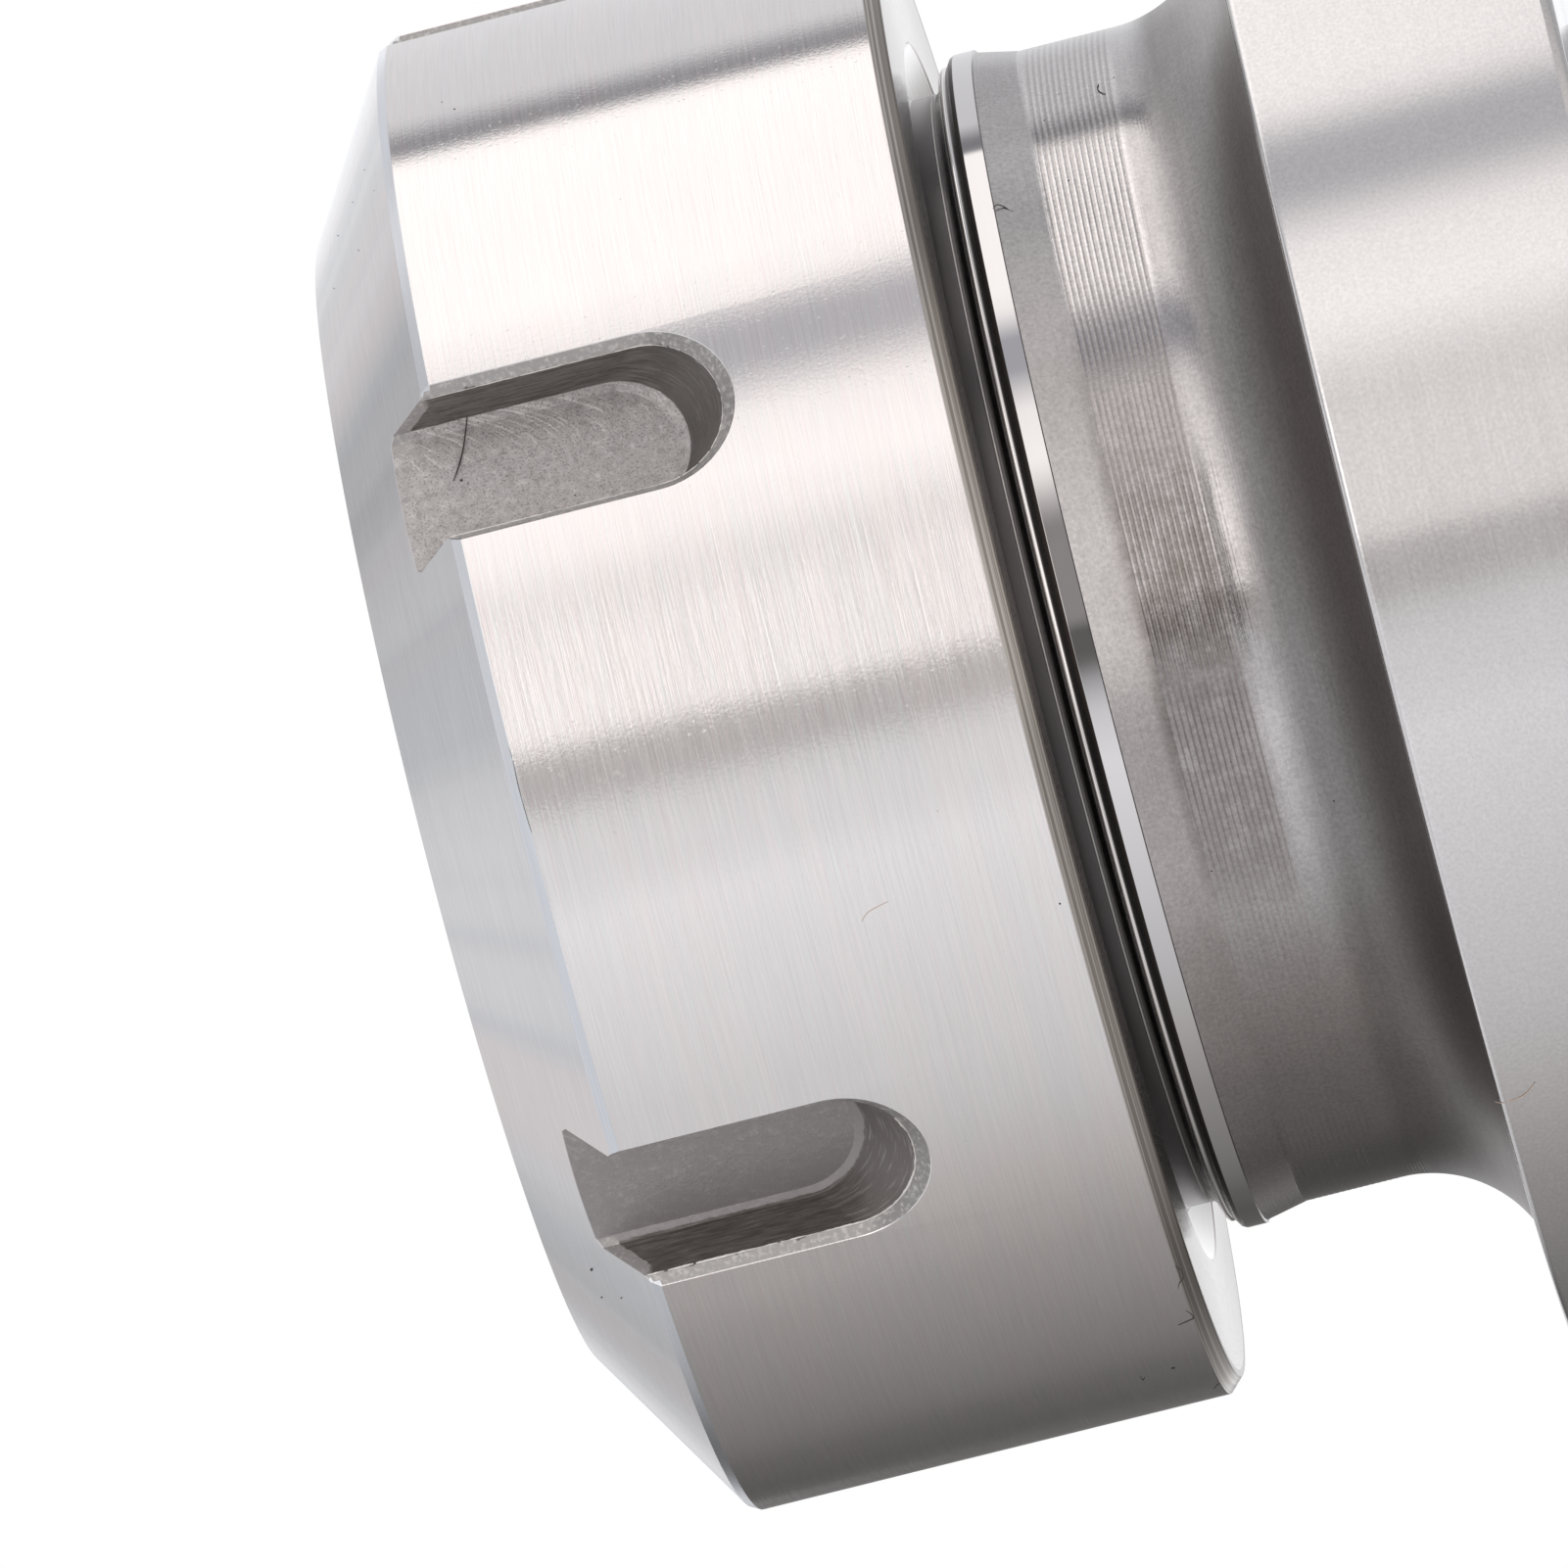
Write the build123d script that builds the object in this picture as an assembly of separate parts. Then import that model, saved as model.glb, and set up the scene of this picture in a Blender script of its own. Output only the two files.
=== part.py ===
from build123d import *
import math
import os

os.makedirs("parts", exist_ok=True)

# A size 40 collet chuck on a plain round shank. Sizes are in millimetres.
# The chuck stands on the end of its shank, with the clamping nut on top.
# Z is the turning axis, and z = 0 is the shank's end face.

# Shank and collar
shank_diameter = 40.0
shank_length = 70.0
shank_end_chamfer = 1.5
collar_diameter = 68.0
collar_width = 12.7
collar_rear_chamfer = 0.5
collar_front_chamfer = 0.2

# Nose thread, M50 x 1.5: the nose has its core diameter and the nut its root diameter
thread_diameter = 50.0
thread_pitch = 1.5
thread_depth_per_pitch = 0.61343
thread_root_clearance = 0.03
nose_chamfer = 0.8

# Neck between the collar and the nut: the land has the thread's diameter
neck_length = 13.9
neck_step = 0.5
neck_fillet = 5.5
neck_taper_length = 1.75
land_step = 0.12
land_width = 1.0
land_gap_behind_nut = 1.6
relief_undercut = 0.48
relief_cone_angle = 58.0
relief_cylinder = 1.1

# Collet seat in the nose
collet_angle = 8.0
seat_clearance = 0.08
seat_spare_depth = 1.2
nose_gap_below_groove = 1.0

# Clamping nut
nut_diameter = 63.0
nut_length = 25.5
nut_front_diameter = 48.0
nut_cone_length = 4.7
nut_edge_chamfer = 0.25
nut_rear_chamfer = 0.6
nut_bore_chamfer = 0.97
nut_mouth_chamfer = 0.8
nut_mouth_clearance = 0.7
nut_seat_clearance = 0.1
nut_nose_clearance = 0.45
nut_chamber_clearance = 0.7
nut_head_clearance = 0.45

# Lip that draws the collet out: its hole lets the collet's head in, off centre
lip_thickness = 2.7
lip_clearance = 0.4
lip_hole_clearance = 0.3
lip_groove_clearance = 0.6

# Spanner slots
slot_count = 6
slot_first_angle = 30.0
slot_width = 6.2
slot_depth = 3.4
slot_floor_length = 14.3
slot_end_slope = 35.0
slot_corner_chamfer = 0.3
slot_rim_chamfer = 0.45

# Spring collet
collet_length = 46.0
collet_diameter = 41.0
collet_bore = 20.0
collet_recess = 0.4
collet_head_diameter = 39.6
collet_head_cone_length = 6.0
collet_head_land = 0.6
collet_head_angle = 30.0
collet_groove_width = 3.6
collet_groove_diameter = 36.4
collet_edge = 0.4
collet_rear_chamfer = 1.0
slit_pairs = 8
slit_width = 0.8
front_slit_web = 7.0
rear_slit_web = 7.6

# Stop screw behind the collet, and how far it can be screwed from where it stands
stop_thread_diameter = 24.0
stop_thread_pitch = 1.5
stop_length = 18.0
stop_chamfer = 1.2
stop_hex = 10.0
stop_hex_depth = 6.0
stop_hole = 7.0
stop_travel_up = 6.0
stop_travel_down = 14.0

# Bores below the collet seat
tool_room_depth = 12.5
tool_bore_step = 1.47
stop_thread_runout = 2.0
through_bore = 18.0
through_bore_chamfer = 1.0

# Heights that follow from the sizes above
collar_top = shank_length + collar_width
nut_bottom = collar_top + neck_length
nut_top = nut_bottom + nut_length
collet_top = nut_top - collet_recess
collet_bottom = collet_top - collet_length
groove_top = collet_top - collet_head_cone_length - collet_head_land
groove_bottom = groove_top - collet_groove_width
nose_top = groove_bottom - nose_gap_below_groove
lip_top = groove_top - lip_clearance
lip_bottom = lip_top - lip_thickness
seat_bottom = collet_bottom - seat_spare_depth
stop_thread_top = seat_bottom - tool_room_depth
stop_top = stop_thread_top - stop_travel_up
stop_bottom = stop_top - stop_length
stop_thread_bottom = stop_bottom - stop_travel_down - stop_thread_runout


def thread_core(diameter, pitch):
    """Radius at the bottom of an outside metric thread."""
    return diameter / 2 - thread_depth_per_pitch * pitch


def thread_root(diameter):
    """Radius at the bottom of the matching inside thread."""
    return diameter / 2 + thread_root_clearance


def collet_radius_at(height):
    """Radius of the collet's long cone."""
    drop = groove_bottom - height
    return collet_diameter / 2 - drop * math.tan(math.radians(collet_angle))


def seat_radius_at(height):
    """Radius of the seat that carries that cone."""
    return collet_radius_at(height) + seat_clearance / math.cos(math.radians(collet_angle))


def turned(points):
    """Solid of revolution about Z from a closed outline of (radius, height) points."""
    outline = make_face(Polyline(*points, close=True))
    return revolve(Plane.XZ * outline, Axis.Z)


def turned_with_radius(points, corner, radius):
    """As turned, with one corner of the outline rounded."""
    outline = make_face(Polyline(*points, close=True))
    vertex = outline.vertices().sort_by_distance(corner)[0]
    outline = fillet(vertex, radius)
    return revolve(Plane.XZ * outline, Axis.Z)


def hex_prism(across_flats, bottom, height):
    """Hexagonal column on the axis."""
    sketch = RegularPolygon(across_flats / 2, 6, major_radius=False)
    return extrude(Pos(0, 0, bottom) * sketch, height)


def chuck_outside():
    shank = shank_diameter / 2
    collar = collar_diameter / 2
    land = thread_diameter / 2
    neck = land - neck_step
    core = thread_core(thread_diameter, thread_pitch)
    relief = core - relief_undercut
    land_top = nut_bottom - land_gap_behind_nut
    land_bottom = land_top - land_width
    cone_top = land_top + (land - relief) / math.tan(math.radians(relief_cone_angle))
    relief_top = cone_top + relief_cylinder
    points = [
        (0, 0),
        (shank - shank_end_chamfer, 0),
        (shank, shank_end_chamfer),
        (shank, shank_length),
        (collar - collar_rear_chamfer, shank_length),
        (collar, shank_length + collar_rear_chamfer),
        (collar, collar_top - collar_front_chamfer),
        (collar - collar_front_chamfer, collar_top),
        (neck, collar_top),
        (neck, land_bottom - neck_taper_length),
        (land - land_step, land_bottom),
        (land, land_bottom),
        (land, land_top),
        (relief, cone_top),
        (relief, relief_top),
        (core, relief_top + relief_undercut),
        (core, nose_top - nose_chamfer),
        (core - nose_chamfer, nose_top),
        (0, nose_top),
    ]
    return turned_with_radius(points, (neck, collar_top, 0), neck_fillet)


def chuck_hollow():
    bore = through_bore / 2
    stop_root = thread_root(stop_thread_diameter)
    tool_bore = stop_root + tool_bore_step
    points = [
        (0, 0),
        (bore + through_bore_chamfer, 0),
        (bore, through_bore_chamfer),
        (bore, stop_thread_bottom),
        (stop_root, stop_thread_bottom),
        (stop_root, stop_thread_top),
        (tool_bore, stop_thread_top),
        (tool_bore, seat_bottom),
        (seat_radius_at(seat_bottom), seat_bottom),
        (seat_radius_at(nose_top), nose_top),
        (0, nose_top),
    ]
    return turned(points)


def chuck_body():
    return chuck_outside() - chuck_hollow()


def nut_outside():
    radius = nut_diameter / 2
    front = nut_front_diameter / 2
    edge = nut_top - nut_cone_length
    cut = nut_edge_chamfer / math.hypot(radius - front, nut_cone_length)
    return turned([
        (0, nut_bottom),
        (radius - nut_rear_chamfer, nut_bottom),
        (radius, nut_bottom + nut_rear_chamfer),
        (radius, edge - nut_edge_chamfer),
        (radius - cut * (radius - front), edge + cut * nut_cone_length),
        (front, nut_top),
        (0, nut_top),
    ])


def nut_hollow():
    """Threaded bore, chamber, lip, pocket for the collet's head and conical mouth."""
    slope = math.tan(math.radians(collet_head_angle))
    gap = nut_seat_clearance / math.cos(math.radians(collet_head_angle))
    head = collet_head_diameter / 2
    head_front = head - collet_head_cone_length * slope
    mouth = head_front + nut_mouth_clearance
    mouth_bottom = collet_top - (mouth - gap - head_front) / slope
    pocket = head + nut_head_clearance
    pocket_top = collet_top - (pocket - gap - head_front) / slope
    chamber = collet_diameter / 2 + nut_chamber_clearance
    lip_edge = collet_groove_diameter / 2 + lip_groove_clearance
    root = thread_root(thread_diameter)
    shoulder = nose_top + nut_nose_clearance
    points = [
        (0, nut_bottom),
        (root + nut_bore_chamfer, nut_bottom),
        (root, nut_bottom + nut_bore_chamfer),
        (root, shoulder),
        (chamber, shoulder),
        (chamber, lip_bottom),
        (lip_edge, lip_bottom),
        (lip_edge, lip_top),
        (pocket, lip_top),
        (pocket, pocket_top),
        (mouth, mouth_bottom),
        (mouth, nut_top - nut_mouth_chamfer),
        (mouth + nut_mouth_chamfer, nut_top),
        (0, nut_top),
    ]
    return turned(points)


def lip_cutter():
    """Eccentric bore that leaves the lip deepest on one side."""
    radius = collet_head_diameter / 2 + lip_hole_clearance
    offset = radius - collet_groove_diameter / 2 - lip_groove_clearance
    return Pos(offset, 0, (lip_top + lip_bottom) / 2) * Cylinder(radius, lip_thickness)


def slot_outline(depth, width):
    """Slot outline on the plane that lies this deep below the nut's diameter."""
    half = width / 2
    slope = math.tan(math.radians(slot_end_slope))
    centre = nut_top - slot_floor_length + slot_width / 2 - (slot_depth - depth) * slope
    front = nut_top + slot_depth
    sketch = make_face(Polyline(
        (-half, centre), (-half, front), (half, front), (half, centre), close=True,
    )) + Pos(0, centre) * Circle(half)
    origin = (nut_diameter / 2 - depth, 0, 0)
    return Plane(origin=origin, x_dir=(0, 1, 0), z_dir=(1, 0, 0)) * sketch


def slot_cutter():
    """One spanner slot, open at the front, with an end wall that slopes out to the rim."""
    floor = slot_outline(slot_depth, slot_width)
    slope = math.radians(slot_end_slope)
    outward = (math.cos(slope), 0, -math.sin(slope))
    cutter = extrude(floor, 2 * slot_depth, dir=outward)
    return chamfer(cutter.faces().sort_by(Axis.X)[0].edges(), slot_corner_chamfer)


def rim_cutter():
    """Flare that takes the edge off the slot's rim, at 45 degrees."""
    radius = nut_diameter / 2
    rim_drop = radius - math.sqrt(radius ** 2 - (slot_width / 2) ** 2)
    start = rim_drop + slot_rim_chamfer
    reach = 2 * start
    inner = slot_outline(start, slot_width)
    outer = slot_outline(start, slot_width + 2 * reach)
    return loft([inner, Pos(reach, 0, 0) * outer])


def clamping_nut():
    nut = nut_outside() - nut_hollow() - lip_cutter()
    cutter = slot_cutter() + rim_cutter()
    for index in range(slot_count):
        nut = nut - Rot(0, 0, slot_first_angle + index * 360 / slot_count) * cutter
    return nut


def slit_blade(bottom, top):
    """Thin saw cut from the axis outwards along +X."""
    blade = Box(
        collet_diameter, slit_width, top - bottom,
        align=(Align.MIN, Align.CENTER, Align.MIN),
    )
    return Pos(0, 0, bottom) * blade


def spring_collet():
    slope = math.tan(math.radians(collet_head_angle))
    head = collet_head_diameter / 2
    groove = collet_groove_diameter / 2
    bore = collet_bore / 2
    rear = collet_radius_at(collet_bottom + collet_rear_chamfer)
    collet = turned([
        (bore, collet_bottom),
        (rear - collet_rear_chamfer, collet_bottom),
        (rear, collet_bottom + collet_rear_chamfer),
        (collet_diameter / 2, groove_bottom),
        (groove, groove_bottom),
        (groove, groove_top),
        (head, groove_top),
        (head, groove_top + collet_head_land),
        (head - collet_head_cone_length * slope, collet_top),
        (bore + collet_edge, collet_top),
        (bore, collet_top - collet_edge),
    ])
    step = 360 / slit_pairs
    past_end = slit_width
    from_front = slit_blade(collet_bottom + front_slit_web, collet_top + past_end)
    from_rear = slit_blade(collet_bottom - past_end, collet_top - rear_slit_web)
    for index in range(slit_pairs):
        collet = collet - Rot(0, 0, index * step) * from_front
        collet = collet - Rot(0, 0, (index + 0.5) * step) * from_rear
    return collet


def stop_screw():
    core = thread_core(stop_thread_diameter, stop_thread_pitch)
    screw = turned([
        (0, stop_bottom),
        (core - stop_chamfer, stop_bottom),
        (core, stop_bottom + stop_chamfer),
        (core, stop_top - stop_chamfer),
        (core - stop_chamfer, stop_top),
        (0, stop_top),
    ])
    screw = screw - hex_prism(stop_hex, stop_top - stop_hex_depth, stop_hex_depth)
    screw = screw - hex_prism(stop_hex, stop_bottom, stop_hex_depth)
    return screw - Pos(0, 0, stop_bottom + stop_length / 2) * Cylinder(stop_hole / 2, stop_length)


export_step(chuck_body(), "parts/chuck_body.step")
export_step(clamping_nut(), "parts/clamping_nut.step")
export_step(spring_collet(), "parts/spring_collet.step")
export_step(stop_screw(), "parts/stop_screw.step")
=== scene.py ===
import math
import random

import bpy
from mathutils import Matrix, Vector


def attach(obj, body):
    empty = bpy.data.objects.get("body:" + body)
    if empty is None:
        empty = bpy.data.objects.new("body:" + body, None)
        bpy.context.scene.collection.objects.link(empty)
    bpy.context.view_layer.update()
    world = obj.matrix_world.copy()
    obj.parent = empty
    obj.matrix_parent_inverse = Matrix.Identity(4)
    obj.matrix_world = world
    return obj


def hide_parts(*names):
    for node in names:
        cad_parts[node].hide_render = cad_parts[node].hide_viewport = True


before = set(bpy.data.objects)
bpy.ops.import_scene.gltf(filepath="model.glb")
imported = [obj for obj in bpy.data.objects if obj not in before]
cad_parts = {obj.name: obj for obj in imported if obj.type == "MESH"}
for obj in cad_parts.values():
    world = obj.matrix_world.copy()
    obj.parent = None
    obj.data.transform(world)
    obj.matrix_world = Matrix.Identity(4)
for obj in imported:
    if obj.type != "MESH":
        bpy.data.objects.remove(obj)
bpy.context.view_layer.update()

MM = 0.001
TURN = 2 * math.pi

# Sizes that the looks share with the solids, in millimetres
SHANK_R, SHANK_LENGTH, SHANK_CHAMFER = 20.0, 70.0, 1.5
COLLAR_R, COLLAR_TOP, COLLAR_REAR, COLLAR_FRONT = 34.0, 82.7, 0.5, 0.3
NECK_R, NECK_TOP, FILLET_R = 24.5, 92.25, 5.5
LAND_R, LAND_BOTTOM, LAND_TOP, LAND_STEP = 25.0, 94.0, 95.0, 0.12
CORE_R, RELIEF_R = 24.0799, 23.5999
RELIEF_BOTTOM, RELIEF_TOP, CORE_BOTTOM = 95.8749, 96.9749, 97.4549
NOSE_TOP, NOSE_CHAMFER = 110.5, 0.8
BORE_R, BORE_CHAMFER = 9.0, 1.0
STOP_ROOM_BOTTOM, STOP_ROOM_TOP, STOP_ROOT_R = 22.0, 62.0, 12.03
TOOL_ROOM_R, SEAT_BOTTOM = 13.5, 74.5
SEAT_BOTTOM_R, SEAT_TOP_R = 15.3808, 20.4402
PITCH = 1.5
NUT_R, NUT_BOTTOM, NUT_TOP, NUT_FRONT_R, CONE_LENGTH = 31.5, 96.6, 122.1, 24.0, 4.7
NUT_EDGE = NUT_TOP - CONE_LENGTH
CONE_SLOPE = (NUT_R - NUT_FRONT_R) / CONE_LENGTH
NUT_ROOT_R, NUT_BORE_CHAMFER, NUT_SHOULDER = 25.03, 0.97, 110.95
STOP_CORE_R, STOP_BOTTOM, STOP_TOP, STOP_CHAMFER = 11.0799, 38.0, 56.0, 1.2
SLOT_FIRST, SLOT_COUNT, SLOT_HALF, SLOT_FLOOR = 30.0, 6, 3.1, 28.1
SLOT_RIM, SLOT_FLARE, SLOT_RIM_CENTRE, SLOT_CORNER = 30.897, 0.42, 108.942, 0.3
# Radius under which the nut's surface is its inside
NUT_WITHIN_R = SLOT_FLOOR - 2.2

# Threads: the ridge's crest radius, its widths at the root and the crest, and its lower and upper end.
# The stop screw's thread and the chuck's round it stop half way, so that the screw slides past at any height.
NOSE_CREST, NOSE_WIDTHS = 24.97, (1.22, 0.19)
NOSE_ENDS = (CORE_BOTTOM + 0.3, NOSE_TOP - NOSE_CHAMFER - 0.2)
NUT_CREST, NUT_WIDTHS = 24.19, (1.345, 0.375)
NUT_ENDS = (NUT_BOTTOM + NUT_BORE_CHAMFER + 0.2, NUT_SHOULDER - 0.75)
STOP_CREST, STOP_WIDTHS = 11.56, (1.22, 0.664)
STOP_ENDS = (STOP_BOTTOM + STOP_CHAMFER, STOP_TOP - STOP_CHAMFER)
STOP_ROOM_CREST, STOP_ROOM_WIDTHS = 11.62, (1.345, 0.872)
STOP_ROOM_ENDS = (STOP_ROOM_BOTTOM + 1.9, STOP_ROOM_TOP - 0.9)
NOSE_PHASE, STOP_ROOM_PHASE = 0.0, math.pi
# Steps round the axis of a fine and a plain ridge, how far its foot goes into the root, and the degrees
# over which it grows at its ends
FINE_RIDGE, PLAIN_RIDGE, RIDGE_SINK, RIDGE_FADE = 96, 72, 0.12, 50.0
BODY_SEGMENTS = 256

# Rounded bead on the relief's cone that shines in the gap
BEAD_HEIGHT, BEAD_SIZE = 95.36, 0.20
# Fine bright ring that the tool left on the relief
RING_HEIGHT, RING_WIDTH = 96.06, 0.05

# Turning grooves on the neck, with finer ones that run into the fillet
RIDGES_BOTTOM, RIDGES_TOP, RIDGE_COUNT, RIDGE_DEPTH = 88.40, 91.92, 14, 0.010
FINE_BOTTOM, FINE_TOP, FINE_PITCH, FINE_DEPTH = 86.4, 87.85, 0.14, 0.0035

# Directions of the photograph: from the part to the camera, and to the picture's upper side
HERO_AZIMUTH = math.radians(-115.1)
TOWARDS = Vector((math.cos(HERO_AZIMUTH), math.sin(HERO_AZIMUTH), 0))
LEFTWARDS = Vector((0, 0, 1)).cross(TOWARDS)


def bearing_of(down):
    """Direction out of the axis, by the angle in degrees below the near side in the photograph."""
    angle = HERO_AZIMUTH - math.radians(down)
    return Vector((math.cos(angle), math.sin(angle), 0))


# Sides of the neck whose valleys are less darkened, whose ridges get painted shade, that is darkened all over
# by painted shade and that is lightened by painted light, and the middle of its brown patch of stain and
# painted shade
LIGHTER_VALLEY_SIDE, SHADED_RIDGE_SIDE, SHADED_SIDE, LIT_SIDE = 45.0, 3.0, 54.0, -50.0
STAIN_AND_SHADE_CENTRE = tuple(bearing_of(-2.0) * NECK_R + Vector((0, 0, 89.5)))


def mesh_object(name, vertices, faces, materials, face_materials, sharp):
    """Mesh from millimetre points, smooth but for edges sharper than the given angle in degrees."""
    mesh = bpy.data.meshes.new(name)
    mesh.from_pydata([(x * MM, y * MM, z * MM) for x, y, z in vertices], [], faces)
    for material in materials:
        mesh.materials.append(material)
    if face_materials:
        mesh.polygons.foreach_set("material_index", face_materials)
    mesh.polygons.foreach_set("use_smooth", [True] * len(mesh.polygons))
    mesh.update()
    mesh.set_sharp_from_angle(angle=math.radians(sharp))
    piece = bpy.data.objects.new(name, mesh)
    bpy.context.scene.collection.objects.link(piece)
    return piece


def lathe(outline, segments):
    """Vertices and faces of a closed outline of (radius, height, material) turned about Z.

    The material is that of the strip from a point to the next one.
    """
    vertices, faces, marks = [], [], []
    count = len(outline)
    for step in range(segments):
        angle = TURN * step / segments
        c, s = math.cos(angle), math.sin(angle)
        vertices += [(r * c, r * s, z) for r, z, _ in outline]
    for step in range(segments):
        here, there = step * count, (step + 1) % segments * count
        for k in range(count):
            n = (k + 1) % count
            faces.append((here + k, there + k, there + n, here + n))
            marks.append(outline[k][2])
    return vertices, faces, marks


def thread_ridge(root, crest, widths, ends, phase, steps=FINE_RIDGE):
    """Helical ridge of a right-hand thread, root and crest radius, that fades out at its ends."""
    root_width, crest_width = widths
    bottom, top = ends
    turns = (top - bottom) / PITCH
    count = int(turns * steps)
    outside = crest > root
    into = -RIDGE_SINK if outside else RIDGE_SINK
    vertices, faces = [], []
    for i in range(count + 1):
        turn = turns * i / count
        angle = TURN * turn + phase
        z = bottom + PITCH * turn
        grow = min(1.0, min(i, count - i) * 360 / steps / RIDGE_FADE)
        grow = grow * grow * (3 - 2 * grow)
        tip = root + (crest - root) * grow
        half_tip = root_width / 2 + (crest_width - root_width) / 2 * grow
        section = [
            (root + into, -root_width / 2), (root, -root_width / 2),
            (tip, -half_tip), (tip, half_tip),
            (root, root_width / 2), (root + into, root_width / 2),
        ]
        c, s = math.cos(angle), math.sin(angle)
        vertices += [(r * c, r * s, z + dz) for r, dz in section]
    size = len(section)
    for i in range(count):
        for k in range(size):
            n = (k + 1) % size
            a, b = i * size + k, i * size + n
            quad = (a, a + size, b + size, b)
            faces.append(quad if outside else quad[::-1])
    first = tuple(range(size))
    last = tuple(count * size + k for k in range(size))
    faces.append(first if outside else first[::-1])
    faces.append(last[::-1] if outside else last)
    return vertices, faces


def half_pitch_from(other_bottom, other_phase, bottom):
    """Phase of a ridge from that lower end which runs half a pitch from another one."""
    return (bottom - other_bottom - PITCH / 2) / PITCH * TURN + other_phase


def joined(*parts):
    """One set of vertices, faces and material marks out of several."""
    vertices, faces, marks = [], [], []
    for part_vertices, part_faces, part_marks in parts:
        start = len(vertices)
        vertices += part_vertices
        faces += [tuple(v + start for v in face) for face in part_faces]
        marks += part_marks
    return vertices, faces, marks


def marked(ridge, mark):
    vertices, faces = ridge
    return vertices, faces, [mark] * len(faces)


class Nodes:
    """Short spelling for building a node tree."""

    def __init__(self, tree):
        self.tree = tree

    def add(self, kind, **settings):
        node = self.tree.nodes.new(kind)
        for key, value in settings.items():
            setattr(node, key, value)
        return node

    def put(self, socket, value):
        if isinstance(value, bpy.types.NodeSocket):
            self.tree.links.new(value, socket)
        elif value is not None:
            socket.default_value = value

    def math(self, operation, a, b=None, c=None):
        node = self.add("ShaderNodeMath", operation=operation)
        for socket, value in zip(node.inputs, (a, b, c)):
            self.put(socket, value)
        return node.outputs[0]

    def plus(self, a, b):
        return self.math("ADD", a, b)

    def minus(self, a, b):
        return self.math("SUBTRACT", a, b)

    def times(self, a, b):
        return self.math("MULTIPLY", a, b)

    def vector(self, operation, a, b=None):
        node = self.add("ShaderNodeVectorMath", operation=operation)
        self.put(node.inputs[0], a)
        self.put(node.inputs[1], b)
        return node.outputs["Value" if operation in ("DOT_PRODUCT", "LENGTH") else "Vector"]

    def scaled(self, vector, factor):
        out = self.vector("SCALE", vector)
        self.put(out.node.inputs["Scale"], factor)
        return out

    def parts(self, vector):
        node = self.add("ShaderNodeSeparateXYZ")
        self.put(node.inputs[0], vector)
        return node.outputs

    def combine(self, x, y, z):
        node = self.add("ShaderNodeCombineXYZ")
        for socket, value in zip(node.inputs, (x, y, z)):
            self.put(socket, value)
        return node.outputs[0]

    def span(self, value, low, high, to_low=0.0, to_high=1.0, smooth=True):
        """Value between low and high, mapped to another span and held at its ends."""
        node = self.add("ShaderNodeMapRange", interpolation_type="SMOOTHSTEP" if smooth else "LINEAR")
        for name, part in zip(("Value", "From Min", "From Max", "To Min", "To Max"),
                              (value, low, high, to_low, to_high)):
            self.put(node.inputs[name], part)
        return node.outputs["Result"]

    def noise(self, vector, scale=1.0, detail=2.0, roughness=0.5):
        node = self.add("ShaderNodeTexNoise")
        for name, value in zip(("Vector", "Scale", "Detail", "Roughness"), (vector, scale, detail, roughness)):
            self.put(node.inputs[name], value)
        return node.outputs["Fac"]

    def blend(self, kind, factor, a, b):
        """Mix of two numbers, vectors or colours."""
        first, out = {"FLOAT": (2, 0), "VECTOR": (4, 1), "RGBA": (6, 2)}[kind]
        node = self.add("ShaderNodeMix", data_type=kind)
        for place, value in ((0, factor), (first, a), (first + 1, b)):
            self.put(node.inputs[place], value)
        return node.outputs[out]

    def mix(self, factor, a, b):
        return self.blend("RGBA", factor, a, b)

    def mix_value(self, factor, a, b):
        return self.blend("FLOAT", factor, a, b)

    def mix_shader(self, factor, a, b):
        node = self.add("ShaderNodeMixShader")
        for socket, value in zip(node.inputs, (factor, a, b)):
            self.put(socket, value)
        return node.outputs[0]

    def light(self, kind, colour, strength):
        """Background or emission of that colour and strength."""
        node = self.add(kind)
        self.put(node.inputs["Color"], colour)
        node.inputs["Strength"].default_value = strength
        return node.outputs[0]

    def finish(self, shader, kind="ShaderNodeOutputMaterial"):
        self.put(self.add(kind).inputs["Surface"], shader)

    def ramp(self, factor, stops):
        node = self.add("ShaderNodeValToRGB")
        self.put(node.inputs[0], factor)
        while len(node.color_ramp.elements) < len(stops):
            node.color_ramp.elements.new(0.5)
        for element, (place, _) in zip(node.color_ramp.elements, stops):
            element.position = place
        for element, (_, colour) in zip(node.color_ramp.elements, stops):
            element.color = (*colour, 1)
        return node.outputs["Color"]

    def bump(self, height, distance, normal=None):
        """Bump of a height in millimetres."""
        node = self.add("ShaderNodeBump")
        node.inputs["Distance"].default_value = distance * MM
        self.put(node.inputs["Height"], height)
        self.put(node.inputs["Normal"], normal)
        return node.outputs["Normal"]


def new_material(name):
    material = bpy.data.materials.new(name)
    material.use_nodes = True
    material.node_tree.nodes.clear()
    return material, Nodes(material.node_tree)


def place_in_mm(n):
    """Object-space point in millimetres, its parts and its distance from the axis."""
    point = n.scaled(n.add("ShaderNodeTexCoord").outputs["Object"], 1 / MM)
    x, y, z = n.parts(point)
    return point, x, y, z, n.vector("LENGTH", n.combine(x, y, 0.0))


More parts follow.
